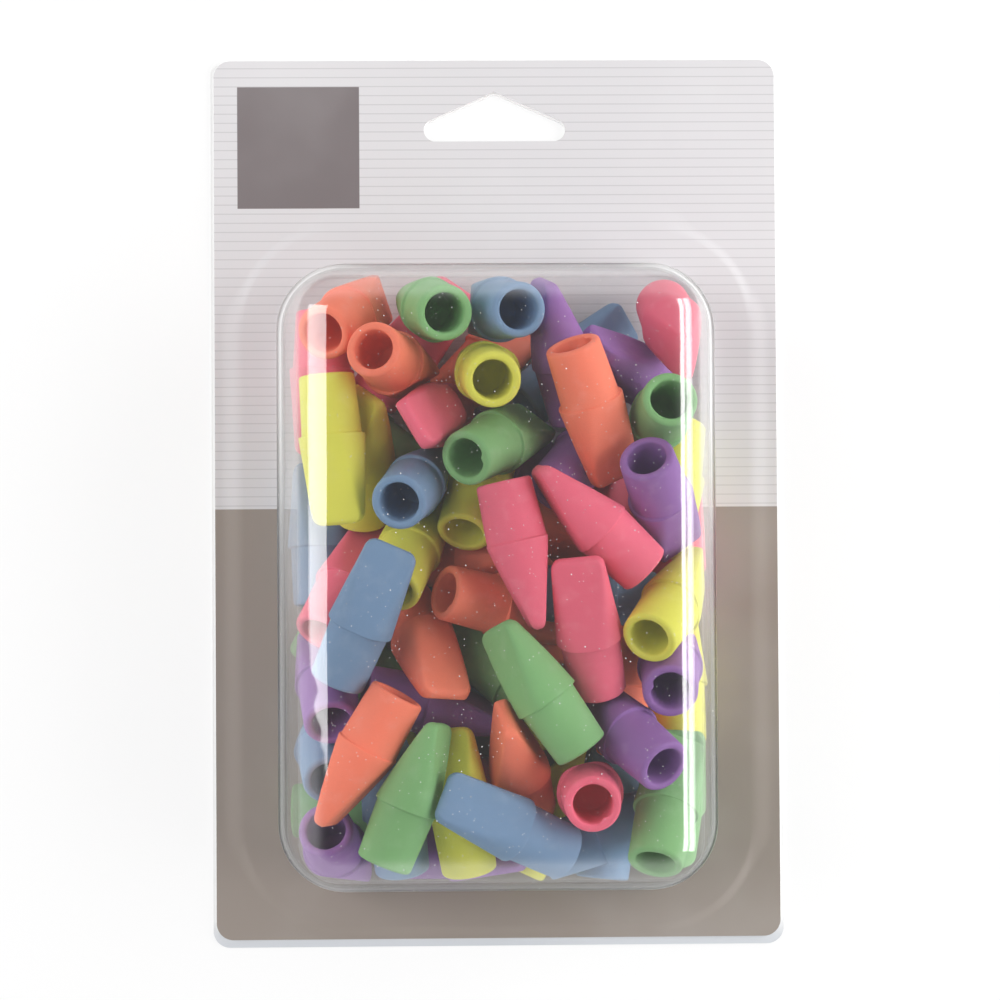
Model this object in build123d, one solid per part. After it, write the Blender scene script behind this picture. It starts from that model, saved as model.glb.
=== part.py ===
from build123d import *
import math
import os

import numpy as np

# A carded blister pack of wedge-shaped pencil eraser caps, lying on its back.
# X runs to the right, Y towards the hang hole and Z out of the card, towards the viewer.
# The origin is the middle of the back card, on the surface that the pack lies on.
# Sizes are in millimetres and angles in degrees.

# Cards
card_width = 101.6
card_height = 158.75
card_corner = 3.0
board = 0.5
side_reveal = 0.6
end_reveal = 1.0
front_shift = 0.4

# Hang hole
hole_width = 25.3
hole_height = 8.8
hole_end_radius = 2.0
hole_peak_radius = 0.8
hole_to_top = 6.7

# Clear blister, its pocket measured inside at the card
pocket_width = 76.3
pocket_length = 109.9
pocket_corner = 11.0
pocket_drop = 13.6
pocket_draft = 8.0
sheet = 0.35
front_radius = 6.0
base_radius = 1.5
flange = 6.5

# Front card round the pocket and over its flange
window_gap = 0.2
seat_gap = 0.15
press_width = 2.0

# Eraser cap, from its open mouth to its wedge tip
cap_length = 25.4
sleeve_length = 10.2
mouth_diameter = 9.4
neck_diameter = 10.2
collar_diameter = 11.4
collar_depth = 10.6
tip_width = 8.8
tip_depth = 1.8
bore_diameter = 6.6
bore_depth = 12.5

# Pile of caps: the gap that they push each other to, and the share of the pocket that they fill
cap_gap = 0.2
pocket_fill = 0.375

# Caps that show, placed by eye: x, y and height of the middle as percentages of the pocket's
# half width, half length and depth, then the heading, tilt and roll of the tip.
# A tip tilted down turns the open mouth to the viewer.
shown_caps = {
    "orange": [
        (-61, 80, 50, 34, -45, 20),
        (-42, 64, 60, -55, -68, 0),
        (45, 49, 60, -57, -42, 30),
        (6, -13, 45, -2, -38, 0),
        (-10, 0, 24, 0, 0, 30),
        (-32, -23, 40, -85, 55, 0),
        (-53, -57, 83, -101, 5, 80),
        (3, -60, 58, 115, 30, 90),
    ],
    "pink": [
        (78, 66, 45, -90, 75, 90),
        (-35, 51, 60, -170, 45, 20),
        (9, 7, 83, -58, 5, 80),
        (34, 16, 83, 147, 5, 90),
        (-63, 5, 42, 38, -45, 0),
        (43, -23, 83, 104, 8, -25),
        (28, -61, 60, 135, -50, 0),
        (-66, 58, 24, -60, 0, 0),
    ],
    "yellow": [
        (-7, 61, 60, -110, -65, 0),
        (-74, 40, 58, -87, 8, 0),
        (-56, 24, 39, 95, 20, 90),
        (88, 21, 30, -90, 0, 0),
        (-36, 6, 40, 90, -62, 0),
        (3, 23, 35, 45, -28, 0),
        (81, -8, 60, 61, -55, 0),
        (-21, -76, 58, 90, 0, 0),
    ],
    "green": [
        (-31, 81, 60, -179, -52, 0),
        (-1, 43, 60, 34, -65, 0),
        (69, 51, 50, 138, -65, 0),
        (11, -37, 83, 125, 10, -20),
        (-33, -64, 83, 75, 5, 70),
        (87, -66, 60, 57, -48, 0),
        (89, -55, 27, 90, 0, 0),
        (18, -23, 27, 150, 0, 0),
    ],
    "blue": [
        (-12, 84, 58, -170, -25, 0),
        (-28, 22, 48, -29, -60, 0),
        (-60, -10, 83, 69, 8, 25),
        (42, -4, 39, 155, 0, 30),
        (-78, -55, 42, 90, -55, 0),
        (8, -74, 83, 150, 8, 15),
        (52, -76, 25, 78, 5, 0),
        (-83, 15, 27, 90, 0, 0),
    ],
    "purple": [
        (19, 59, 58, 112, 15, 90),
        (61, 59, 42, 145, 5, 70),
        (43, 34, 30, -5, -40, 0),
        (72, 20, 60, -56, -42, 0),
        (78, -29, 45, 97, -48, 0),
        (56, -53, 60, 142, -42, 0),
        (-77, -37, 45, 90, -80, 0),
        (-78, -97, 33, -90, -30, 0),
    ],
}

# Caps that lie under them, in the same terms
buried_caps = {
    "orange": [
        (29, 12, 18, 60, 0, 0),
        (5, 52, 15, 70, 0, 0),
        (47, -36, 18, 90, 0, 0),
        (60, 0, 12, 90, 0, 0),
    ],
    "pink": [
        (-28, 63, 18, 80, 0, 0),
        (91, -13, 30, 80, 0, 0),
        (72, -1, 24, 60, 0, 0),
        (-40, -61, 18, 80, 0, 0),
    ],
    "yellow": [
        (89, -25, 18, 90, 0, 0),
        (62, -71, 18, 60, 0, 0),
        (22, -45, 18, 45, 0, 0),
        (-67, -58, 18, 90, 0, 0),
    ],
    "green": [
        (-67, -87, 18, 0, 0, 0),
        (-8, 18, 18, 120, 0, 0),
        (25, -8, 18, 10, 0, 0),
        (-26, -26, 18, 160, 0, 0),
    ],
    "blue": [
        (-51, -81, 36, 90, 0, 0),
        (73, -87, 18, 0, 0, 0),
        (35, 40, 15, 20, 0, 0),
        (-3, -33, 18, 90, 0, 0),
    ],
    "purple": [
        (-21, -43, 21, 20, 0, 0),
        (4, -88, 30, 10, 0, 0),
        (47, 25, 18, 150, 0, 0),
        (-58, 5, 18, 10, 0, 0),
    ],
}

# How the pile is settled
settle_steps = 900
lift_step = 0.002
settle_digits = 6
swell_share = 0.3
calm_share = 0.7
first_swell = 0.55
sink_step = 0.01
return_share = 0.2
turn_share = 0.12
firmness = 0.9
least_gap_share = 0.5
spin_radius = 7.0
patch_depth = 0.4
near_margin = 2.0
watched_gap = 0.6
tiny = 1e-9
side_count = 8
head_count = 4
direction_count = 96
wall_turn = 22.5
edge_turns = (22, 38, 54, 70)
refining_turns = (0.09, 0.05, 0.03, 0.02)


def cap_blank():
    """The cap's outside: a tapered round sleeve and a wider head cut to a wedge."""
    profile = Polyline(
        (0, 0, 0),
        (mouth_diameter / 2, 0, 0),
        (neck_diameter / 2, 0, sleeve_length),
        (collar_diameter / 2, 0, sleeve_length),
        (tip_width / 2, 0, cap_length),
        (0, 0, cap_length),
        close=True,
    )
    body = revolve(make_face(profile), Axis.Z)
    wedge = Polyline(
        (0, -collar_diameter, 0),
        (0, collar_diameter, 0),
        (0, collar_diameter, sleeve_length),
        (0, collar_depth / 2, sleeve_length),
        (0, tip_depth / 2, cap_length),
        (0, -tip_depth / 2, cap_length),
        (0, -collar_depth / 2, sleeve_length),
        (0, -collar_diameter, sleeve_length),
        close=True,
    )
    return body & extrude(make_face(wedge), collar_diameter, both=True)


def eraser_cap():
    """One cap on the Z axis, its mouth at the origin and its wedge edge along X."""
    bore = Cylinder(bore_diameter / 2, bore_depth, align=(Align.CENTER, Align.CENTER, Align.MIN))
    return cap_blank() - bore


def card_outline(width, height):
    """A card's outline with rounded corners."""
    return RectangleRounded(width, height, card_corner)


def hang_hole():
    """The peaked hole for a display hook, its peak the set distance below the card's top edge."""
    peak = card_height / 2 - hole_to_top
    end_place = hole_width / 2 - hole_end_radius
    end_height = peak - hole_height + hole_end_radius
    circles = Sketch() + [
        Pos(-end_place, end_height) * Circle(hole_end_radius),
        Pos(end_place, end_height) * Circle(hole_end_radius),
        Pos(0, peak - hole_peak_radius) * Circle(hole_peak_radius),
    ]
    return make_hull(circles.edges())


def pocket_outline(growth):
    """The pocket's outline at the card, moved out by the given amount on every side."""
    width = pocket_width + 2 * growth
    length = pocket_length + 2 * growth
    return Pos(0, -pocket_drop) * RectangleRounded(width, length, pocket_corner + growth)


def pocket_solid(growth, depth, edge_radius):
    """The drafted pocket as a solid block standing on the back card, its front edge rounded."""
    inset = depth * math.tan(math.radians(pocket_draft))
    foot = Pos(0, 0, board) * pocket_outline(growth)
    front = Pos(0, 0, board + depth) * pocket_outline(growth - inset)
    block = loft([foot.face(), front.face()], ruled=True)
    front_edges = block.faces().sort_by(Axis.Z)[-1].edges()
    return fillet(front_edges, edge_radius)


def back_card():
    """The plain back board, a little larger than the printed one."""
    return extrude(card_outline(card_width, card_height) - hang_hole(), board)


def front_card():
    """The printed board with the pocket's window, pressed up in a soft ramp over the trapped flange."""
    width = card_width - 2 * side_reveal
    height = card_height - 2 * end_reveal
    outline = Pos(0, front_shift) * card_outline(width, height)
    plate = extrude(outline - Pos(0, front_shift) * hang_hole(), board)
    ramp_foot = Pos(0, 0, board) * pocket_outline(flange + board + press_width)
    ramp_top = Pos(0, 0, board + sheet) * pocket_outline(flange + board)
    raised = loft([ramp_foot.face(), ramp_top.face()], ruled=True)
    seat = extrude(pocket_outline(flange + seat_gap), sheet)
    window = extrude(pocket_outline(sheet + base_radius + window_gap), board + sheet)
    return Pos(0, 0, board) * (plate + raised - seat - window)


def blister(depth):
    """The clear formed sheet: a hollow drafted pocket on a flat flange."""
    outside = pocket_solid(sheet, depth + sheet, front_radius)
    inside = pocket_solid(0, depth, front_radius - sheet)
    lip = Pos(0, 0, board) * extrude(pocket_outline(flange), sheet)
    formed = outside + lip
    lip_top = formed.faces().filter_by(Axis.Z).group_by(Axis.Z)[1]
    foot_edges = lip_top.face().inner_wires()[0].edges()
    return fillet(foot_edges, base_radius) - inside


def facing(heading, tilt, roll):
    """Columns of the cap's own axes: along its wedge edge, across its flats and towards its tip."""
    turn, rise, spin = np.radians([heading, tilt, roll])
    tip = np.array([math.cos(rise) * math.cos(turn), math.cos(rise) * math.sin(turn), math.sin(rise)])
    side = np.array([-math.sin(turn), math.cos(turn), 0])
    broad = side * math.cos(spin) + np.cross(tip, side) * math.sin(spin)
    return np.column_stack([broad, np.cross(tip, broad), tip])


def ring(height, radius, depth):
    """Points just outside one section of the cap, along the two round sides between its flats."""
    half_turn = math.asin(min(1, depth / radius))
    angle = np.linspace(-half_turn, half_turn, side_count)
    reach = radius / math.cos(half_turn / (side_count - 1))
    side = np.column_stack([reach * np.cos(angle), reach * np.sin(angle), np.full(side_count, height)])
    return np.concatenate([side, side * [-1, 1, 1]])


def cap_hull():
    """Points whose hull wraps the cap, measured from the middle of its length."""
    rings = [ring(0, mouth_diameter / 2, mouth_diameter)]
    for share in np.linspace(0, 1, head_count):
        height = sleeve_length + share * (cap_length - sleeve_length)
        radius = (collar_diameter + share * (tip_width - collar_diameter)) / 2
        depth = (collar_depth + share * (tip_depth - collar_depth)) / 2
        rings.append(ring(height, radius, depth))
    return np.concatenate(rings) - [0, 0, cap_length / 2]


def spread_directions():
    """Unit vectors spread evenly over a ball, each opposite to the one half the list away."""
    index = np.arange(direction_count) + 0.5
    rise = 1 - index / direction_count
    golden_turn = math.pi * (3 - math.sqrt(5))
    turn = index * golden_turn
    across = np.sqrt(1 - rise * rise)
    half = np.column_stack([across * np.cos(turn), across * np.sin(turn), rise])
    return np.concatenate([half, -half])


def pocket_walls(depth):
    """Outward normals and distances of planes round the pocket: sides, rounded front edge, ends."""
    draft = math.radians(pocket_draft)
    normals = [(0, 0, -1), (0, 0, 1)]
    distances = [0, depth]
    for degrees in np.arange(0, 360, wall_turn):
        turn = math.radians(degrees)
        straight = pocket_width / 2 - pocket_corner, pocket_length / 2 - pocket_corner
        reach = straight[0] * abs(math.cos(turn)) + straight[1] * abs(math.sin(turn)) + pocket_corner
        edge_height = depth - front_radius
        edge_reach = reach - edge_height * math.tan(draft) - front_radius / math.cos(draft)
        for lean in (draft, *np.radians(edge_turns)):
            flat = math.cos(lean)
            normals.append((flat * math.cos(turn), flat * math.sin(turn), math.sin(lean)))
            distances.append(edge_reach * flat + edge_height * math.sin(lean) + front_radius)
    return np.array(normals), np.array(distances)


def patch_middle(hulls, directions):
    """The middle of the patch of each hull that reaches furthest along its direction."""
    along = np.einsum("kpi,ki->kp", hulls, directions)
    weight = np.exp((along - along.max(1, keepdims=True)) / patch_depth)
    weight /= weight.sum(1, keepdims=True)
    return np.einsum("kp,kpi->ki", weight, hulls)


def widest_gaps(hulls, pairs, directions):
    """For each pair that comes close, the direction with the widest gap between them, and that gap."""
    reach = (hulls.reshape(-1, 3) @ directions.T).reshape(len(hulls), -1, len(directions)).max(1)
    opposite = np.roll(np.arange(len(directions)), direction_count)
    gaps = -reach[pairs[:, 0]] - reach[pairs[:, 1]][:, opposite]
    best = gaps.argmax(1)
    gap = gaps[np.arange(len(pairs)), best]
    close = gap < watched_gap
    pairs, gap, along = pairs[close], gap[close], directions[best[close]]
    one, other = hulls[pairs[:, 0]], hulls[pairs[:, 1]]
    rows = np.arange(len(pairs))
    for turn in refining_turns:
        nearest_one = np.einsum("kpi,ki->kp", one, along).argmax(1)
        nearest_other = np.einsum("kpi,ki->kp", other, along).argmin(1)
        lean = other[rows, nearest_other] - one[rows, nearest_one]
        lean -= (lean * along).sum(1, keepdims=True) * along
        trial = along + turn * lean / (np.linalg.norm(lean, axis=1, keepdims=True) + tiny)
        trial /= np.linalg.norm(trial, axis=1, keepdims=True)
        trial_gap = np.einsum("kpi,ki->kp", other, trial).min(1) - np.einsum("kpi,ki->kp", one, trial).max(1)
        better = trial_gap > gap
        gap = np.where(better, trial_gap, gap)
        along = np.where(better[:, None], trial, along)
    return pairs, along, gap


def turned(vectors):
    """Rotation matrices for rotation vectors, by Rodrigues' formula."""
    angle = np.linalg.norm(vectors, axis=1)[:, None, None] + tiny
    x, y, z = vectors.T
    zero = np.zeros(len(vectors))
    cross = np.stack([zero, -z, y, z, zero, -x, -y, x, zero], 1).reshape(-1, 3, 3) / angle
    return np.eye(3) + np.sin(angle) * cross + (1 - np.cos(angle)) * cross @ cross


def settle(places, frames, held, depth):
    """Swells the caps to full size while they push each other and the pocket until all lie free.

    Where they stay wedged, the pocket grows deeper. Gives their places, frames and the pocket's depth.
    """
    hull_points = cap_hull()
    directions = spread_directions()
    normals, distances = pocket_walls(depth)
    all_pairs = np.column_stack(np.triu_indices(len(places), 1))
    home = places.copy()
    home_frames = frames.copy()
    step = 0
    free = False
    while not free:
        progress = step / settle_steps
        swell = min(1, first_swell + (1 - first_swell) * progress / swell_share)
        calm = max(0, 1 - progress / calm_share)
        ease = 1 - firmness * calm * held
        hulls = places[:, None] + np.einsum("cij,pj->cpi", frames, swell * hull_points)

        apart = np.linalg.norm(places[all_pairs[:, 0]] - places[all_pairs[:, 1]], axis=1)
        near = apart < swell * cap_length + near_margin
        pairs, along, gap = widest_gaps(hulls, all_pairs[near], directions)
        touching = gap < cap_gap
        one, other = pairs[touching].T
        along, overlap = along[touching], cap_gap - gap[touching]
        meeting = (patch_middle(hulls[one], along) + patch_middle(hulls[other], -along)) / 2

        past = (hulls @ normals.T).max(1) + cap_gap - distances
        outside, wall = np.nonzero(past > 0)
        wall_meeting = patch_middle(hulls[outside], normals[wall])
        tightest = max(overlap.max(initial=0), past.max())
        if progress >= 1:
            free = tightest < cap_gap * (1 - least_gap_share)
            depth += lift_step
            normals, distances = pocket_walls(depth)

        pushed = np.concatenate([one, other, outside])
        push = np.concatenate([-along, along, -normals[wall]])
        yielding = ease[one] / (ease[one] + ease[other])
        amount = np.concatenate([overlap * yielding, overlap * (1 - yielding), past[outside, wall]])
        point = np.concatenate([meeting, meeting, wall_meeting])
        arm = np.cross(point - places[pushed], push) / spin_radius
        amount = amount / (1 + (arm * arm).sum(1))

        move = np.zeros_like(places)
        twist = np.zeros_like(places)
        np.add.at(move, pushed, amount[:, None] * push)
        np.add.at(twist, pushed, amount[:, None] * arm / spin_radius)
        move += return_share * calm * held[:, None] * (home - places)
        move[:, 2] -= sink_step * calm
        twist += turn_share * calm * held[:, None] * np.cross(frames, home_frames, axis=1).sum(2) / 2
        if not free:
            places = np.round(places + move, settle_digits)
            frames = np.round(turned(twist) @ frames, settle_digits)
        step += 1
    print(f"pocket {depth:.2f} mm deep, caps at least {cap_gap - tightest:.2f} mm apart after {step} steps")
    return places, frames, depth


def pile_of_caps():
    """Settled locations of the shown and the buried caps, by colour, and the pocket's depth."""
    rows = []
    held = []
    for name in shown_caps:
        rows += shown_caps[name] + buried_caps[name]
        held += [1.0] * len(shown_caps[name]) + [0.0] * len(buried_caps[name])
    depth = len(rows) * cap_blank().volume / (pocket_fill * pocket_width * pocket_length)
    scale = np.array([pocket_width / 2, pocket_length / 2, depth]) / 100
    places = np.array([row[:3] for row in rows]) * scale
    frames = np.array([facing(*row[3:]) for row in rows])
    places, frames, depth = settle(places, frames, np.array(held), depth)
    mouths = places - frames[:, :, 2] * cap_length / 2 + [0, -pocket_drop, board]
    located = iter(
        Location(Plane(origin=tuple(mouth), x_dir=tuple(frame[:, 0]), z_dir=tuple(frame[:, 2])))
        for mouth, frame in zip(mouths, frames)
    )
    shown = {}
    buried = {}
    for name in shown_caps:
        shown[name] = [next(located) for _ in shown_caps[name]]
        buried[name] = [next(located) for _ in buried_caps[name]]
    return shown, buried, depth


def main():
    os.makedirs("parts", exist_ok=True)
    shown, buried, depth = pile_of_caps()
    export_step(back_card(), "parts/back_card.step")
    export_step(front_card(), "parts/front_card.step")
    export_step(blister(depth), "parts/blister.step")
    cap = eraser_cap()
    for name in shown_caps:
        for number, location in enumerate(shown[name], 1):
            export_step(location * cap, f"parts/{name}_cap_{number}.step")
        hidden = Compound(children=[location * cap for location in buried[name]])
        export_step(hidden, f"parts/{name}_caps_buried.step")


main()
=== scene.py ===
# %% [markdown]
# # A blister pack of pencil eraser caps
# The pack is a printed card with a clear formed pocket, and 72 wedge-shaped rubber caps lie loose in
# the pocket. The packed CAD model gives the place of every piece, so this lesson only has to give
# each one its rounded shape and its finish. The model lies on its back: X runs to the right, Y towards
# the hang hole and Z out of the card.

# %% Load the packed model
import math
import random

import bmesh
import bpy
import numpy as np
from mathutils import Matrix, Vector, geometry, noise


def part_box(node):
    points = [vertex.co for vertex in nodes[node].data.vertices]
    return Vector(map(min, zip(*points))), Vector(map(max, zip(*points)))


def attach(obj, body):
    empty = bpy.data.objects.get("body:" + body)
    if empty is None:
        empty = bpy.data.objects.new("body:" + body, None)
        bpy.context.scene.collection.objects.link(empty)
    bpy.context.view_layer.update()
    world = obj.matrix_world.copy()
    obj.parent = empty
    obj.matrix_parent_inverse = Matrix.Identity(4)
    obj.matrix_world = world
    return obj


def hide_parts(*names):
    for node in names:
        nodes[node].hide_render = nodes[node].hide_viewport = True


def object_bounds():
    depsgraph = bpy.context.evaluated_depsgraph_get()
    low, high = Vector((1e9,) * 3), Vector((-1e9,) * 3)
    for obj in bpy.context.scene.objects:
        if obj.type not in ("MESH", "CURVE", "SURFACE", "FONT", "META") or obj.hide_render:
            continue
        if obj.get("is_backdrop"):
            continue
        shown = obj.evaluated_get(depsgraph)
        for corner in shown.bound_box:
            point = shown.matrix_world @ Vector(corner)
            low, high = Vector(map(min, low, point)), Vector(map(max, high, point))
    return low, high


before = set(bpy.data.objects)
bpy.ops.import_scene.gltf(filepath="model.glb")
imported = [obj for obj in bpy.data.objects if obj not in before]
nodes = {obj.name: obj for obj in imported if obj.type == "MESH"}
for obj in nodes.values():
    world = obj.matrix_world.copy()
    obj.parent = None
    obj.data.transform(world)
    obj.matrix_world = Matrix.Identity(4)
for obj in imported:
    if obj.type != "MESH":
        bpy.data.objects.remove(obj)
cad_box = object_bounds()
mm = 0.001
overall = cad_box[1] - cad_box[0]
print("loaded", len(nodes), "nodes,", [round(value / mm, 2) for value in overall], "mm overall")

# %% [markdown]
# ## The camera
# A product photograph of a flat pack is taken from straight above with a long lens, so that the tall
# pocket doesn't hide the card. This camera stands a little to the left of the middle and a little
# below it, which shows slightly more of the pocket's left and lower walls. A camera that looks almost
# straight down has no safe "up", so its turn is built from three axes instead of a tracking helper.

# %% Camera
camera_place = Vector((-8.0, -10.0, 480.0)) * mm
camera_target = Vector((0.6, 0.0, 1.0)) * mm
camera_roll = math.radians(0.35)
view_width = 178.6 * mm
sensor_width = 36.0


def facing_from(place, target, up):
    """A matrix for an object at place whose -Z looks at target, with its Y as near to up as can be."""
    back = (place - target).normalized()
    right = up.cross(back).normalized()
    turn = Matrix((right, back.cross(right), back)).transposed()
    return Matrix.Translation(place) @ turn.to_4x4()


camera = bpy.data.objects.new("camera", bpy.data.cameras.new("camera"))
bpy.context.scene.collection.objects.link(camera)
camera.matrix_world = facing_from(
    camera_place, camera_target, Vector((math.sin(camera_roll), math.cos(camera_roll), 0))
)
camera.data.sensor_width = sensor_width
camera.data.lens = sensor_width * (camera_place - camera_target).length / view_width
camera.data.clip_start = 10 * mm
bpy.context.scene.camera = camera
print("lens", round(camera.data.lens, 1), "mm")

# %% [markdown]
# ## The studio
# Clear plastic shows its shape only by what it mirrors. A broad softbox on the left and two narrow ones
# on the right draw the long bright stripes down the pocket's rounded edges, and they also light the
# rubber from both sides. The left one is turned a little, so that its stripe narrows towards the bottom.
# The view transform is Standard, so a colour renders about as it is written.

# %% Light
light_target = Vector((0, -10, 15)) * mm


def softbox(name, place, width, length, radiance, roll=0.0):
    """An area light that faces the pack, its length along Y, turned about its own axis by roll degrees.

    Its own face would look as bright as radiance, where 1 is white.
    """
    lamp = bpy.data.lights.new(name, "AREA")
    lamp.shape = "RECTANGLE"
    lamp.size = width * mm
    lamp.size_y = length * mm
    lamp.energy = radiance * math.pi * lamp.size * lamp.size_y
    box = bpy.data.objects.new(name, lamp)
    bpy.context.scene.collection.objects.link(box)
    turn = Matrix.Rotation(math.radians(roll), 4, "Z")
    box.matrix_world = facing_from(Vector(place) * mm, light_target, Vector((0, 1, 0))) @ turn
    print(name, "gives", round(lamp.energy, 2), "W")


softbox("left_softbox", (-540, 109, 480), width=900, length=390, radiance=3.3, roll=-4.0)
softbox("right_strip", (480, 40, 400), width=150, length=700, radiance=5.6)
softbox("right_low_strip", (600, 40, 170), width=260, length=700, radiance=4.2)
bpy.context.scene.view_settings.view_transform = "Standard"

# %% [markdown]
# ## Writing materials as sums
# A finish is a little arithmetic on the place of each point: a stripe is a repeat of y, a spot is a
# noise above a limit. The class below wraps one socket, so that such sums can be written as Python
# and the Math nodes are added on the way. Every other node comes from its one method `node`.

# %% Sums on sockets
class Wire:
    """A socket of a material. Arithmetic on it adds Math nodes."""

    def __init__(self, tree, socket):
        self.tree = tree
        self.socket = socket

    def node(self, kind, settings, inputs, output=0):
        """Adds a node, gives it its settings, then the values or wires of its sockets."""
        made = self.tree.nodes.new(kind)
        for name, value in settings.items():
            setattr(made, name, value)
        feed(made, inputs)
        return Wire(self.tree, made.outputs[output])

    def sum(self, operation, first, second=0.0):
        """Adds one Math node."""
        return self.node("ShaderNodeMath", {"operation": operation}, {0: first, 1: second})

    def __add__(self, other):
        return self.sum("ADD", self, other)

    __radd__ = __add__

    def __sub__(self, other):
        return self.sum("SUBTRACT", self, other)

    def __rsub__(self, other):
        return self.sum("SUBTRACT", other, self)

    def __mul__(self, other):
        return self.sum("MULTIPLY", self, other)

    __rmul__ = __mul__

    def __truediv__(self, other):
        return self.sum("DIVIDE", self, other)

    def __abs__(self):
        return self.sum("ABSOLUTE", self)

    def rise(self, low, high):
        """0 below low and 1 above high, or the other way round where low is the greater."""
        return self.node(
            "ShaderNodeMapRange",
            {"interpolation_type": "SMOOTHSTEP"},
            {"Value": self, "From Min": low, "From Max": high},
        )

    def between(self, first, second):
        """The first colour where this is 0 and the second where it is 1."""
        colours = {"Factor": self, "A": first, "B": second}
        return self.node("ShaderNodeMix", {"data_type": "RGBA"}, colours, 2)


def feed(made, inputs):
    """Sets or links a node's sockets."""
    for name, value in inputs.items():
        if isinstance(value, Wire):
            value.tree.links.new(value.socket, made.inputs[name])
        else:
            made.inputs[name].default_value = value


methods = [name for name in vars(Wire) if not name.startswith("_")]
print("a wire has", ", ".join(methods), "and plain arithmetic")


# %% Helpers for finishes
def tone(red, green, blue):
    """A colour from its screen values of 0 to 255, by the sRGB curve."""
    parts = [value / 255 for value in (red, green, blue)]
    return tuple(((p + 0.055) / 1.055) ** 2.4 if p > 0.04045 else p / 12.92 for p in parts) + (1.0,)


def grey(level):
    """A colour that gives back this share of the light."""
    return (level, level, level, 1.0)


def new_finish(name):
    """A material with its main shader, and its Object coordinates as a wire and as three wires."""
    material = bpy.data.materials.new(name)
    material.use_nodes = True
    tree = material.node_tree
    place = Wire(tree, tree.nodes.new("ShaderNodeTexCoord").outputs["Object"])
    split = place.node("ShaderNodeSeparateXYZ", {}, {"Vector": place}).socket.node
    axes = [Wire(tree, socket) for socket in split.outputs]
    return material, tree.nodes["Principled BSDF"], place, axes


def height_of(vector):
    """The Z of a wire that carries a direction."""
    return vector.node("ShaderNodeSeparateXYZ", {}, {"Vector": vector}, "Z")


def rays(wire, *kinds):
    """1 for a ray of one of these kinds, and 0 for any other ray."""
    return sum(wire.node("ShaderNodeLightPath", {}, {}, kind) for kind in kinds)


def mixed(share, first, second):
    """The first shader with a share of the second."""
    return share.node("ShaderNodeMixShader", {}, {0: share, 1: first, 2: second})


def grain(place, size, detail):
    """A noise from about 0 to 1 whose lumps are about size across."""
    return place.node("ShaderNodeTexNoise", {}, {"Vector": place, "Scale": 1 / size, "Detail": detail})


def spots(place, pitch):
    """The distance to the nearest of many points that lie about pitch apart, in pitches."""
    return place.node("ShaderNodeTexVoronoi", {}, {"Vector": place, "Scale": 1 / pitch})


def relief(place, height, depth):
    """A normal from a height between 0 and 1 that stands for depth."""
    return place.node("ShaderNodeBump", {}, {"Height": height, "Distance": depth})


print("a grey of 128 on the screen is", round(tone(128, 128, 128)[0], 3), "of the light of white")

# %% [markdown]
# ## The room
# Pale walls stand round the table and the ceiling is dim. The pocket's steep sides mirror the walls, so
# they stay bright, and its flat front mirrors the dim ceiling, so the caps behind it stay clear. A world
# whose strength falls from the horizon to the top of the sky does the same with no walls to build, and
# its even light keeps the gaps between the caps from turning black. The camera itself sees it as white.

# %% Room
wall_level = 0.9
ceiling_level = 0.1
wall_top = 0.4
ceiling_edge = 0.98

world = bpy.data.worlds.new("pale_room")
world.use_nodes = True
sky = Wire(world.node_tree, world.node_tree.nodes.new("ShaderNodeTexCoord").outputs["Generated"])
level = height_of(sky).rise(ceiling_edge, wall_top) * (wall_level - ceiling_level) + ceiling_level
seen_sky = rays(sky, "Is Camera Ray", "Is Transmission Ray")
level = level * (1 - seen_sky) + seen_sky
feed(world.node_tree.nodes["Background"], {"Color": grey(1), "Strength": level})
bpy.context.scene.world = world
print("the room's light runs from", ceiling_level, "overhead to", wall_level, "at the table")

# %% [markdown]
# ## The floor
# The pack lies on a white table. For the camera, three quarters of the table's light near the pack is
# its own and the rest is what falls on it, so it comes out white and still keeps a soft shadow round the
# card. Far from the pack, where the softboxes don't reach, all of the light is its own, and the table
# runs into the white room.

# %% Floor
floor_size = 6.0
own_light = 0.75
pack_reach = 0.2
lamp_reach = 0.5

floor_shape = bmesh.new()
bmesh.ops.create_grid(floor_shape, x_segments=1, y_segments=1, size=floor_size / 2)
floor_mesh = bpy.data.meshes.new("floor")
floor_shape.to_mesh(floor_mesh)
floor_shape.free()
floor = bpy.data.objects.new("floor", floor_mesh)
bpy.context.scene.collection.objects.link(floor)
floor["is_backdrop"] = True

floor_finish, floor_shader, floor_place, _ = new_finish("white_table")
feed(floor_shader, {"Base Color": grey(0.9), "Roughness": 0.9})
seen = rays(floor_place, "Is Camera Ray", "Is Glossy Ray", "Is Transmission Ray")
glow = seen.node("ShaderNodeEmission", {}, {"Strength": 1.0})
lit = Wire(seen.tree, floor_shader.outputs[0])
away = floor_place.node("ShaderNodeVectorMath", {"operation": "LENGTH"}, {0: floor_place}, "Value")
share = own_light + away.rise(pack_reach, lamp_reach) * (1 - own_light)
feed(floor_finish.node_tree.nodes["Material Output"], {"Surface": mixed(seen * share, lit, glow)})
floor_mesh.materials.append(floor_finish)
print("the table is", floor_size, "m wide, and", own_light, "of its light by the pack is its own")

# %% [markdown]
# ## The printed card
# The front board is printed in two fields: a pale one with fine grey rules above, and a warm grey one
# below, with a plain square near the top left corner. It could be an image, but one that stays sharp
# close up is large. Here the print is a colour worked out from x and y, so both boards can use it and it
# lines up across the window.

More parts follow.
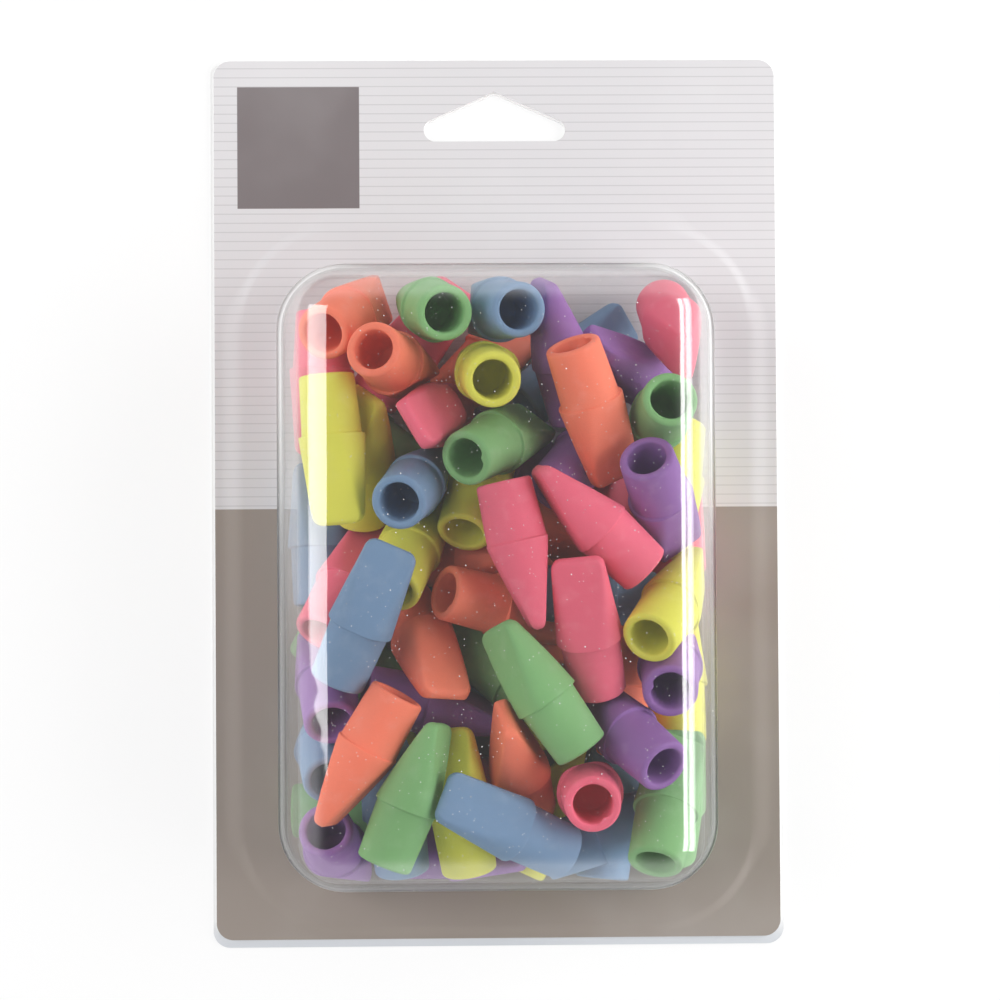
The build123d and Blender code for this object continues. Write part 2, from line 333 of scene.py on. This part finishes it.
# %% Print
field_edge = -1.4 * mm
rule_pitch = 1.63 * mm
rule_half = 0.075 * mm
rule_soft = 0.05 * mm
square_middle = (-35.1 * mm, 63.2 * mm)
square_half = 10.9 * mm
edge_soft = 0.06 * mm
ink_cloud = 30 * mm
ink_cloud_rise = (0.45, 0.75)
ink_cloud_share = 0.06
pale_ink = tone(211, 209, 211)
rule_ink = tone(194, 192, 194)
warm_ink = tone(149, 139, 131)
square_ink = tone(118, 110, 111)


def printed_ink(place, x, y):
    """The print's colour at each point of the card."""
    from_rule = abs(y.sum("FRACT", y / rule_pitch) - 0.5) * rule_pitch
    inked = from_rule.rise(rule_half + rule_soft, rule_half).between(pale_ink, rule_ink)
    inked = y.rise(field_edge + edge_soft, field_edge - edge_soft).between(inked, warm_ink)
    across = abs(x - square_middle[0]).rise(square_half + edge_soft, square_half - edge_soft)
    along = abs(y - square_middle[1]).rise(square_half + edge_soft, square_half - edge_soft)
    inked = (across * along).between(inked, square_ink)
    clouds = grain(place, ink_cloud, detail=3.0).rise(*ink_cloud_rise)
    return (clouds * ink_cloud_share).between(inked, grey(1))


print("fields meet at", round(field_edge / mm, 1), "mm and rules lie every", round(rule_pitch / mm, 2), "mm")

# %% [markdown]
# ## Coated board
# Both boards are white card. Only the faces that look up are printed and have a slight gloss, and the cut
# edges and the back are bare fibre. The finish asks which way a face looks, so no face has to be picked by
# hand. The back board keeps its CAD shape and takes the print only behind the clear pocket, where it goes
# on through the window. Its own rim stays white, with painted shade that greys it towards the bottom edge.

# %% Board finishes
board_white = tone(243, 243, 243)
fleck_tone = tone(205, 203, 198)
fleck_share = 0.12
looks_up = (0.4, 0.6)
fibre_size = 0.25 * mm
fibre_depth = 0.01 * mm
bare_roughness = 0.62
print_gloss = 0.2
fibre_roughness = 0.08
window_middle = -13.6 * mm
window_half = (42.0 * mm, 58.5 * mm)
# Painted shade: the back board's lower rim is greyed towards the bottom edge, where the pack shades it.
rim_painted_shade = tone(203, 206, 211)
rim_shade_top = -73.5 * mm
rim_shade_low = -79.2 * mm


def board_finish(name, window_only):
    """Coated board: print on the faces that look up, white fibre on its edges and back, and painted shade on
    the back board's lower rim.
    """
    material, shader, place, (x, y, _) = new_finish(name)
    printed = height_of(place.node("ShaderNodeNewGeometry", {}, {}, "Normal")).rise(*looks_up)
    fibres = grain(place, fibre_size, detail=4.0)
    paper = (fibres * fleck_share).between(board_white, fleck_tone)
    if window_only:
        printed = printed * abs(x).rise(window_half[0], window_half[0] - edge_soft)
        printed = printed * abs(y - window_middle).rise(window_half[1], window_half[1] - edge_soft)
        # Painted shade greys the back board's rim towards the bottom edge.
        paper = y.rise(rim_shade_top, rim_shade_low).between(paper, rim_painted_shade)
    finish = {
        "Base Color": printed.between(paper, printed_ink(place, x, y)),
        "Roughness": bare_roughness - printed * print_gloss + fibres * fibre_roughness,
        "Normal": relief(place, fibres, fibre_depth),
    }
    feed(shader, finish)
    return material


front_finish = board_finish("front_board", False)
back_finish = board_finish("back_board", True)
nodes["back_card"].data.materials.clear()
nodes["back_card"].data.materials.append(back_finish)
for finish in (front_finish, back_finish):
    print(finish.name, "has", len(finish.node_tree.nodes), "nodes")

# %% [markdown]
# ## One eraser cap
# A cap is moulded rubber: a tapered round sleeve that goes over the pencil, a small step, and a head
# that two flats narrow to a blunt edge. It is spun from a half outline, its rings are bevelled, and
# then both flats are pressed in by moving the points that lie outside them. Pressing keeps one closed
# skin with soft edges, where a cut would leave sharp rims to clean up. The sizes are the packed model's.
# Only the slight dome of the tip, the rounds and the softness of the press are added here.

# %% Cap sizes in millimetres
cap_length = 25.4
sleeve_length = 10.2
mouth_radius = 4.7
neck_radius = 5.1
collar_radius = 5.7
collar_half_depth = 5.3
tip_radius = 4.4
tip_half_depth = 0.9
bore_radius = 3.3
bore_depth = 12.5
dome_drop = 0.2
tip_height = cap_length - dome_drop
press_softness = 0.8
softest_share = 0.9

flat_slope = (collar_half_depth - tip_half_depth) / (cap_length - sleeve_length)
edge_round = tip_half_depth / (math.hypot(1, flat_slope) - flat_slope)
round_middle = cap_length - edge_round
round_start = round_middle + edge_round * flat_slope / math.hypot(1, flat_slope)


def half_depth(height):
    """Half the head's depth between its flats at a height, with the blunt round edge at the tip."""
    if height < round_start:
        return tip_half_depth + (cap_length - height) * flat_slope
    return math.sqrt(max(0.0, edge_round**2 - (height - round_middle) ** 2))


def soft_least(value, limit):
    """The lesser of two lengths, rounded off where they are nearly equal."""
    softness = min(press_softness, softest_share * limit)
    if softness <= 0:
        return limit
    share = min(1.0, max(0.0, 0.5 + 0.5 * (limit - value) / softness))
    return limit + (value - limit) * share - softness * share * (1 - share)


flat_lean = math.degrees(math.atan(flat_slope))
print("the flats lean", round(flat_lean, 1), "degrees and the edge's radius is", round(edge_round, 2), "mm")

# %% Spin and bevel the cap
spin_steps = 48
near = 1e-3
seam_gap = 1e-4
dome_shares = (0.5, 0.25, 0.0)
ring_rounds = (  # radius and height of a ring, then the width and segments of its round
    (bore_radius, bore_depth, 0.7, 2),
    (bore_radius, 0, 0.5, 3),
    (mouth_radius, 0, 0.6, 4),
    (neck_radius, sleeve_length, 0.2, 2),
    (collar_radius, sleeve_length, 0.3, 3),
    (tip_radius, tip_height, 1.5, 5),
)


def spun_cap():
    """A round cap in millimetres on the Z axis, its mouth at the origin."""
    outline = [
        (0, bore_depth),
        (bore_radius, bore_depth),
        (bore_radius, 0),
        (mouth_radius, 0),
        (neck_radius, sleeve_length),
        (collar_radius, sleeve_length),
        (tip_radius, tip_height),
    ]
    outline += [(tip_radius * share, cap_length - dome_drop * share**2) for share in dome_shares]
    shape = bmesh.new()
    verts = [shape.verts.new((radius, 0, height)) for radius, height in outline]
    edges = [shape.edges.new(pair) for pair in zip(verts, verts[1:])]
    whole_turn = {"axis": (0, 0, 1), "cent": (0, 0, 0), "angle": math.tau, "use_merge": True}
    bmesh.ops.spin(shape, geom=verts + edges, steps=spin_steps, **whole_turn)
    bmesh.ops.remove_doubles(shape, verts=shape.verts, dist=seam_gap)
    bmesh.ops.recalc_face_normals(shape, faces=shape.faces)
    return shape


def bevel_ring(shape, radius, height, width, segments):
    """Rounds the spun ring that has this radius and height."""

    def on_ring(vert):
        return abs(vert.co.xy.length - radius) < near and abs(vert.co.z - height) < near

    bmesh.ops.bevel(
        shape,
        geom=[edge for edge in shape.edges if all(on_ring(vert) for vert in edge.verts)],
        offset=width,
        offset_type="OFFSET",
        segments=segments,
        profile=0.5,
        affect="EDGES",
        material=-1,
        clamp_overlap=True,
    )


cap_shape = spun_cap()
for ring in ring_rounds:
    bevel_ring(cap_shape, *ring)
print("the round cap has", len(cap_shape.faces), "faces")

# %% Press the flats
# Extra rings at these heights give the sleeve and the flats enough points to be pressed and dented.
cut_heights = (3.2, 6.6, 12.3, 14.2, 16.1, 18.0, 19.8, 21.4, 22.8)
step_slack = 0.05


def in_head(radius, height):
    """Whether a point of the cap belongs to the head's outside, which the flats press in."""
    above_step = height > sleeve_length + step_slack or radius > neck_radius + step_slack
    on_outside = radius > bore_radius + near and height > sleeve_length - near
    return (on_outside and above_step) or height > bore_depth + near


for height in cut_heights:
    everything = cap_shape.verts[:] + cap_shape.edges[:] + cap_shape.faces[:]
    bmesh.ops.bisect_plane(cap_shape, geom=everything, plane_co=(0, 0, height), plane_no=(0, 0, 1))
for vert in cap_shape.verts:
    if in_head(vert.co.xy.length, vert.co.z):
        vert.co.y = math.copysign(soft_least(abs(vert.co.y), half_depth(vert.co.z)), vert.co.y)
cap_shape.normal_update()
print("one cap has", len(cap_shape.verts), "points and", len(cap_shape.faces), "faces")

# %% [markdown]
# ## Finding the caps in the packed model
# A packed node is only triangles, and some nodes hold four caps. Each closed solid is the same shape,
# so its own mass tells how it lies: the longest spread runs along the cap, the next along the blunt
# edge and the least across the flats. The end with the wide rim is the mouth.

# %% Places of the caps
merge_distance = 0.002 * mm
rim_share = 1 / 50


def islands(shape):
    """The separate solids of a merged mesh, as lists of triangles."""
    left = set(shape.faces)
    for start in shape.faces:
        if start not in left:
            continue
        left.discard(start)
        solid = []
        waiting = [start]
        while waiting:
            face = waiting.pop()
            solid.append(face)
            for edge in face.edges:
                for other in edge.link_faces:
                    if other in left:
                        left.discard(other)
                        waiting.append(other)
        yield solid


def place_of(solid):
    """The matrix that takes the master cap, in millimetres, to this solid.

    Each triangle makes a tetrahedron with the origin: 6 belongs to its volume, 4 to its middle and 20
    to its spread.
    """
    corners = np.array([[vert.co for vert in face.verts] for face in solid], float)
    volume = np.einsum("ki,ki->k", corners[:, 0], np.cross(corners[:, 1], corners[:, 2])) / 6
    total = corners.sum(1)
    middle = (volume[:, None] * total).sum(0) / 4 / volume.sum()
    spread = np.einsum("k,ki,kj->ij", volume, total, total)
    spread += np.einsum("k,kci,kcj->ij", volume, corners, corners)
    spread = spread / 20 - volume.sum() * np.outer(middle, middle)
    thin, broad, along = np.linalg.eigh(spread)[1].T
    points = corners.reshape(-1, 3) - middle
    heights = points @ along
    depths = abs(points @ thin)
    low, high = heights.min(), heights.max()
    rim = (high - low) * rim_share
    if depths[heights > high - rim].max() > depths[heights < low + rim].max():
        along = -along
        low = -high
    mouth = Vector(middle + along * low)
    turn = Matrix((broad, np.cross(along, broad), along)).transposed()
    return Matrix.Translation(mouth) @ turn.to_4x4() @ Matrix.Scale(mm, 4)


def cap_places(node):
    """A matrix for every cap in a packed node."""
    shape = bmesh.new()
    shape.from_mesh(nodes[node].data)
    bmesh.ops.remove_doubles(shape, verts=shape.verts, dist=merge_distance)
    places = [place_of(solid) for solid in islands(shape)]
    shape.free()
    return places


first_mouth = cap_places("orange_cap_1")[0].translation
print("the first orange cap's mouth is at", [round(value / mm, 1) for value in first_mouth], "mm")

# %% [markdown]
# ## Moulded rubber
# The rubber is matt, a little uneven in tone, and dusty from the mould. A cap-sized noise shifts the
# tone from one cap to the next, a finer one clouds the surface, and a sparse field of tiny spots is
# the powder. A grain far finer than a millimetre breaks up the gloss. These noises fill space, so no cap
# has to be unwrapped and no two caps carry the same marks.

# %% Rubber finishes
rubber_tones = {
    "orange": tone(254, 133, 103),
    "pink": tone(244, 109, 134),
    "yellow": tone(230, 228, 88),
    "green": tone(131, 184, 120),
    "blue": tone(120, 150, 183),
    "purple": tone(151, 105, 175),
}
darkest = 0.86
shift_size = 24 * mm
shift_rise = (0.3, 0.7)
paleness = 0.25
pale_level = 0.8
cloud_size = 3.0 * mm
cloud_rise = (0.5, 0.8)
cloud_share = 0.22
powder_tone = (0.85, 0.85, 0.83, 1)
powder_pitch = 1.6 * mm
powder_edge = (0.085, 0.05)
patch_size = 6 * mm
patch_rise = (0.5, 0.6)
powder_share = 0.75
rubber_grain = 0.35 * mm
rubber_relief = 0.02 * mm
rubber_roughness = 0.56
grain_roughness = 0.2


def rubber_finish(colour):
    """Matt rubber with clouds, powder and a fine grain."""
    material, shader, place, _ = new_finish(colour + "_rubber")
    base = rubber_tones[colour]
    shade = tuple(part * darkest for part in base[:3]) + (1.0,)
    pale = tuple((1 - paleness) * part + paleness * pale_level for part in base[:3]) + (1.0,)
    tint = grain(place, shift_size, detail=0.0).rise(*shift_rise).between(shade, base)
    clouds = grain(place, cloud_size, detail=3.0).rise(*cloud_rise)
    tint = (clouds * cloud_share).between(tint, pale)
    patches = grain(place, patch_size, detail=1.0).rise(*patch_rise)
    powder = spots(place, powder_pitch).rise(*powder_edge) * patches
    fine = grain(place, rubber_grain, detail=3.0)
    finish = {
        "Base Color": (powder * powder_share).between(tint, powder_tone),
        "Roughness": rubber_roughness + fine * grain_roughness,
        "Normal": relief(place, fine, rubber_relief),
        "Specular IOR Level": 0.35,
    }
    feed(shader, finish)
    return material


rubbers = {colour: rubber_finish(colour) for colour in rubber_tones}
print("mixed", len(rubbers), "colours of rubber")

# %% [markdown]
# ## Filling the pocket
# Every cap is a copy of the master, laid where the packed model has it. No two moulded caps are quite
# alike, so each copy is bent by up to about a tenth of a millimetre and dented by less, and some keep a
# scrap of flash on the rim of the mouth. A generator that starts from the node's name makes the same
# copies on every run.

# %% An uneven copy
dent = 0.05
dent_size = 5.0
dent_bias = 0.5
noise_reach = 99
lean = 0.12
flash_reach = 0.8
flash_turn = 0.22
flash_rise = 0.3
rim_height = 0.6
rim_slack = 0.1


def pull_flash(vert, turn):
    """Draws a point of the mouth's inner rim in over the bore, as a scrap of rubber from the mould."""
    radius = vert.co.xy.length
    if vert.co.z < rim_height and bore_radius - rim_slack < radius < bore_radius + rim_height:
        apart = math.remainder(math.atan2(vert.co.y, vert.co.x) - turn, math.tau)
        share = math.exp(-((apart / flash_turn) ** 2)) * (1 - vert.co.z / rim_height)
        vert.co.xy *= 1 - flash_reach * share / radius
        vert.co.z += flash_rise * share


def uneven_cap(draw, has_flash):
    """A slightly bent and dented copy of the master cap."""
    copy = cap_shape.copy()
    offset = Vector([draw.uniform(-noise_reach, noise_reach) for _ in range(3)])
    bend = Vector((draw.uniform(-lean, lean), draw.uniform(-lean, lean), 0))
    turn = draw.uniform(0, math.tau)
    for vert in copy.verts:
        rise = max(0.0, vert.co.z - sleeve_length) / (cap_length - sleeve_length)
        if has_flash:
            pull_flash(vert, turn)
        vert.co += bend * rise**2
        vert.co += vert.normal * dent * (noise.noise(vert.co / dent_size + offset) - dent_bias)
    return copy


print("a cap's tip leans up to", lean, "mm each way and its dents are about", dent, "mm deep")

# %% Lay the caps
flashed = ("orange_cap_3", "orange_cap_4", "green_cap_2", "purple_cap_5", "pink_cap_7")


def join(shape, other):
    """Adds another mesh to this one."""
    mesh = bpy.data.meshes.new("joined")
    other.to_mesh(mesh)
    other.free()
    shape.from_mesh(mesh)
    bpy.data.meshes.remove(mesh)


def finished_piece(name, shape, material, node, slot):
    """A smooth piece on the root body that stands for a packed node."""
    mesh = bpy.data.meshes.new(name)
    shape.to_mesh(mesh)
    shape.free()
    mesh.shade_smooth()
    mesh.materials.append(material)
    piece = bpy.data.objects.new(name, mesh)
    bpy.context.scene.collection.objects.link(piece)
    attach(piece, "root")
    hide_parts(node)
    return piece


cap_count = 0
for colour, rubber in rubbers.items():
    for node in sorted(name for name in nodes if name.startswith(colour + "_cap")):
        draw = random.Random(node)
        shape = bmesh.new()
        for place in cap_places(node):
            cap = uneven_cap(draw, node in flashed)
            bmesh.ops.transform(cap, matrix=place, verts=cap.verts)
            join(shape, cap)
            cap_count += 1
        finished_piece("rubber_" + node, shape, rubber, node, colour + "_rubber")
cap_shape.free()
print("laid", cap_count, "caps")

# %% [markdown]
# ## The clear pocket
# The pocket is one thin sheet, heated and drawn over a mould, so all its edges are round. It starts as
# a flat face with rounded corners. Each inset moves the face in and up by one step of the section:
# along the flange, round the foot, up the sloping wall and round the front edge. A Solidify modifier
# then gives the sheet its thickness, inwards.

# %% Section of the pocket
board = 0.5
pocket_slope = math.radians(8.0)
sheet = 0.35
foot_round = 1.0
front_round = 6.0
flange = 6.5
support = 0.25
foot_points = 8
wall_points = 6
front_points = 12
front_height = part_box("blister")[1].z / mm


def wall_at(height):
    """How far the wall's outside stands out from the pocket's outline at a height."""
    return sheet - (height - board) * math.tan(pocket_slope)


def pocket_section():
    """Steps of (distance out from the pocket's outline, height) from the flange's edge to the front."""
    foot_middle = board + sheet + foot_round
    foot_out = wall_at(foot_middle) + foot_round / math.cos(pocket_slope)
    front_middle = front_height - front_round
    front_out = wall_at(front_middle) - front_round / math.cos(pocket_slope)
    sweep = math.pi / 2 - pocket_slope
    steps = [(flange, board + sheet), (foot_out + support, board + sheet)]
    for share in np.linspace(0, 1, foot_points):
        turn = -math.pi / 2 - share * sweep
        steps.append((foot_out + foot_round * math.cos(turn), foot_middle + foot_round * math.sin(turn)))
    low = steps[-1][1] + support
    high = front_middle + front_round * math.sin(pocket_slope) - support
    steps += [(wall_at(height), height) for height in np.linspace(low, high, wall_points)]
    for share in np.linspace(0, 1, front_points):
        turn = pocket_slope + share * sweep
        out = front_out + front_round * math.cos(turn)
        steps.append((out, front_middle + front_round * math.sin(turn)))
    return steps + [(front_out - support, front_height)]


pocket_steps = pocket_section()
print("the section has", len(pocket_steps), "steps and ends", round(pocket_steps[-1][1], 2), "mm up")

# %% Form the sheet
pocket_size = (76.3, 109.9)
pocket_corner = 11.0
pocket_drop = 13.6
corner_steps = 18


def rounded_face(width, length, corner, middle, height):
    """A new mesh in millimetres with one flat face whose corners are rounded by a vertex bevel."""
    shape = bmesh.new()
    bmesh.ops.create_grid(shape, x_segments=1, y_segments=1, size=0.5)
    bmesh.ops.scale(shape, vec=(width, length, 1), verts=shape.verts)
    bmesh.ops.translate(shape, vec=(0, middle, height), verts=shape.verts)
    bmesh.ops.bevel(
        shape,
        geom=shape.verts[:],
        offset=corner,
        offset_type="OFFSET",
        segments=corner_steps,
        profile=0.5,
        affect="VERTICES",
        material=-1,
    )
    return shape


def pocket_face(growth, height):
    """The pocket's outline, moved out by growth."""
    width, length = (size + 2 * growth for size in pocket_size)
    return rounded_face(width, length, pocket_corner + growth, -pocket_drop, height)


def follow(shape, steps):
    """Insets the mesh's one face along steps of (distance out, height). Returns the face left inside."""
    face = shape.faces[:][0]
    for before, after in zip(steps, steps[1:]):
        bmesh.ops.inset_region(
            shape, faces=[face], thickness=before[0] - after[0], use_even_offset=True, use_boundary=True
        )
        bmesh.ops.translate(shape, vec=(0, 0, after[1] - before[1]), verts=face.verts)
    return face


pocket = pocket_face(*pocket_steps[0])
front = follow(pocket, pocket_steps)
print("pocket has", len(pocket.faces), "faces, its front", round(front.calc_center_median().z, 2), "mm up")
bmesh.ops.scale(pocket, vec=(mm, mm, mm), verts=pocket.verts)

# %% [markdown]
# ## Clear plastic
# A glass shader would bend light as a solid block does, but a thin sheet hardly bends it. So the sheet is
# mixed from a see-through shader and a mirror, more mirror where it is seen at a slant. A faint ripple in
# its normal gives the drawn sheet its uneven mirror. White haze lies over that: dust specks in patches and
# a faint film that shows at a slant. Painted light is added too: the foot is painted white, more at the
# upper sides, as a painted highlight that stands for the lamps' stripes and lifts the shade at the foot,
# and the film is painted stronger on the upper half, where the upper walls are lit.

# %% Clear film
ripple_size = 9 * mm
ripple_depth = 0.12 * mm
face_mirror = 0.085
slant_mirror = 0.25
slant_power = 5.0

clear, clear_shader, clear_place, (clear_x, clear_y, clear_z) = new_finish("clear_sheet")
clear.node_tree.nodes.remove(clear_shader)
ripple = relief(clear_place, grain(clear_place, ripple_size, detail=1.0), ripple_depth)
facing = clear_place.node("ShaderNodeLayerWeight", {}, {"Blend": 0.5, "Normal": ripple}, "Facing")
slant = facing.sum("POWER", facing, slant_power)
through = slant.node("ShaderNodeBsdfTransparent", {}, {"Color": grey(0.995)})
gloss = {"Color": grey(1), "Roughness": 0.05, "Normal": ripple}
mirror = slant.node("ShaderNodeBsdfGlossy", {}, gloss)
film = mixed(face_mirror + slant * slant_mirror, through, mirror)
print("the sheet mirrors", face_mirror, "of the light face on and", face_mirror + slant_mirror, "edge on")

# %% Haze and dust
dust = ((2.6, 0.055, 0.44), (1.1, 0.08, 0.42))  # pitch in mm, size in pitches, noise that starts a patch
dust_soft = 0.6
patch_pitches = 4
patch_soft = 0.12
dust_share = 0.8
# Painted highlight: the sheet's foot is painted white, more at the upper sides, in place of the lamps'
# stripes there and to lift the shade at the foot.
foot_light_rise = (2.2 * mm, 1.0 * mm)
foot_light_share = 0.3
side_light_rise = (4.6 * mm, 1.6 * mm)
side_light_share = 0.5
side_light_width = (20 * mm, 34 * mm)
upper_light_part = (-15 * mm, 25 * mm)
# Painted light: the slant film is made stronger on the upper half, where the upper walls are lit.
upper_light_rise = (-40 * mm, 5 * mm)
film_share = 0.08
upper_painted_light_share = 0.18
haze_everywhere = 0.008

specks = 0.0
for pitch, size, start in dust:
    patch = grain(clear_place, patch_pitches * pitch * mm, detail=1.0).rise(start, start + patch_soft)
    specks = specks + spots(clear_place, pitch * mm).rise(size, size * dust_soft) * patch
# Painted highlight: white painted on the foot, and more of it on the foot's upper sides.
lit_upper_sides = abs(clear_x).rise(*side_light_width) * clear_y.rise(*upper_light_part)
painted_foot_light = clear_z.rise(*foot_light_rise) * foot_light_share + clear_z.rise(*side_light_rise) * lit_upper_sides * side_light_share
# A faint haze that shows at a slant, with painted light added on the upper half.
slant_film_and_upper_light = slant * (clear_y.rise(*upper_light_rise) * upper_painted_light_share + film_share)
white = slant.node("ShaderNodeBsdfDiffuse", {}, {"Color": grey(0.9)})
# The sheet's film with its dust, haze, painted highlight at the foot and painted light on the upper half.
haze_and_painted_light = mixed(specks * dust_share + painted_foot_light + slant_film_and_upper_light + haze_everywhere, film, white)
feed(clear.node_tree.nodes["Material Output"], {"Surface": haze_and_painted_light})

blister = finished_piece("clear_blister", pocket, clear, "blister", "clear_sheet")
thickness = blister.modifiers.new("sheet", "SOLIDIFY")
thickness.thickness = sheet * mm
thickness.offset = -1
print(blister.name, "is a sheet of", sheet, "mm with", len(clear.node_tree.nodes), "nodes in its finish")

# %% [markdown]
# ## The pressed front card
# The front board is glued down over the pocket's flange, so it rises in a soft ramp round the window. The
# ramp is inset from the pocket's outline like the sheet was. The flat rest of the board, with its hang
# hole, is filled between three loops of edges, the two are merged, and the board gets its thickness
# and a small round on every cut edge.

# %% Ramp round the window
press_width = 2.0
side_stretch = 1.0
top_stretch = 2.0
window_out = 1.0
ramp_points = 9
card_top = 2 * board


def ramp_section():
    """Steps of (distance out from the pocket's outline, height) from the flat board to the window."""
    start = flange + board + press_width
    top = card_top + sheet
    steps = [(start + support, card_top)]
    for share in np.linspace(0, 1, ramp_points):
        steps.append((start - press_width * share, card_top + sheet * share**2 * (3 - 2 * share)))
    return steps + [(steps[-1][0] - support, top), (window_out + support, top), (window_out, top)]


def widen(shape):
    """Stretches the ramp towards the card's sides and top, where the board has room for a softer slope."""
    side = pocket_size[0] / 2 + flange + board
    top = pocket_size[1] / 2 - pocket_drop + flange + board
    for vert in shape.verts:
        vert.co.x += math.copysign(max(0, abs(vert.co.x) - side) * side_stretch, vert.co.x)
        vert.co.y += max(0, vert.co.y - top) * top_stretch


ramp_steps = ramp_section()
card = pocket_face(*ramp_steps[0])
bmesh.ops.delete(card, geom=[follow(card, ramp_steps)], context="FACES_ONLY")
widen(card)
print("the ramp has", len(card.faces), "faces and rises by", sheet, "mm")

# %% Flat board and hang hole
card_size = (100.4, 156.75)
card_corner = 3.0
card_shift = 0.4
hang_circles = ((-10.65, 66.275, 2.0), (10.65, 66.275, 2.0), (0.0, 72.275, 0.8))  # x, y and radius
circle_steps = 48


def flat_board(loop):
    """The board outside the ramp: its outline, the ramp's loop and the hang hole, filled in between."""
    shape = rounded_face(*card_size, card_corner, card_shift, card_top)
    ramp_foot = pocket_face(*loop)
    widen(ramp_foot)
    join(shape, ramp_foot)
    bmesh.ops.delete(shape, geom=shape.faces[:], context="FACES_ONLY")
    rim = [
        (x + radius * math.cos(turn), y + radius * math.sin(turn))
        for x, y, radius in hang_circles
        for turn in np.linspace(0, math.tau, circle_steps, endpoint=False)
    ]
    hole = [shape.verts.new((*rim[index], card_top)) for index in geometry.convex_hull_2d(rim)]
    for pair in zip(hole, hole[1:] + hole[:1]):
        shape.edges.new(pair)
    bmesh.ops.triangle_fill(shape, use_beauty=True, edges=shape.edges[:], normal=(0, 0, 1))
    return shape


join(card, flat_board(ramp_steps[0]))
bmesh.ops.remove_doubles(card, verts=card.verts, dist=near)
print("with the flat board it has", len(card.faces), "faces")

# %% Thickness and cut edges
cut_round = 0.1
cut_angle = 1.0
smooth_angle = 0.3

bmesh.ops.solidify(card, geom=card.faces[:], thickness=board)
bmesh.ops.recalc_face_normals(card, faces=card.faces)
bmesh.ops.bevel(
    card,
    geom=[edge for edge in card.edges if edge.calc_face_angle(0) > cut_angle],
    offset=cut_round,
    segments=2,
    profile=0.5,
    affect="EDGES",
    material=-1,
    clamp_overlap=True,
)
for edge in card.edges:
    edge.smooth = edge.calc_face_angle(0) < smooth_angle
heights = [vert.co.z for vert in card.verts]
print("front card runs from", round(min(heights), 2), "to", round(max(heights), 2), "mm")
print("its open edges:", sum(edge.is_boundary for edge in card.edges))
bmesh.ops.scale(card, vec=(mm, mm, mm), verts=card.verts)
finished_piece("printed_card", card, front_finish, "front_card", "printed_board")

# %% [markdown]
# ## Hand over
# The script notes the box of the packed model and of the dressed one, which should be the same, and
# hands the scene over.

# %% Finish
visual_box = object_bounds()
apart = max((cad - visual).length for cad, visual in zip(cad_box, visual_box))
print("the dressed model's box is within", round(apart / mm, 3), "mm of the packed one's")
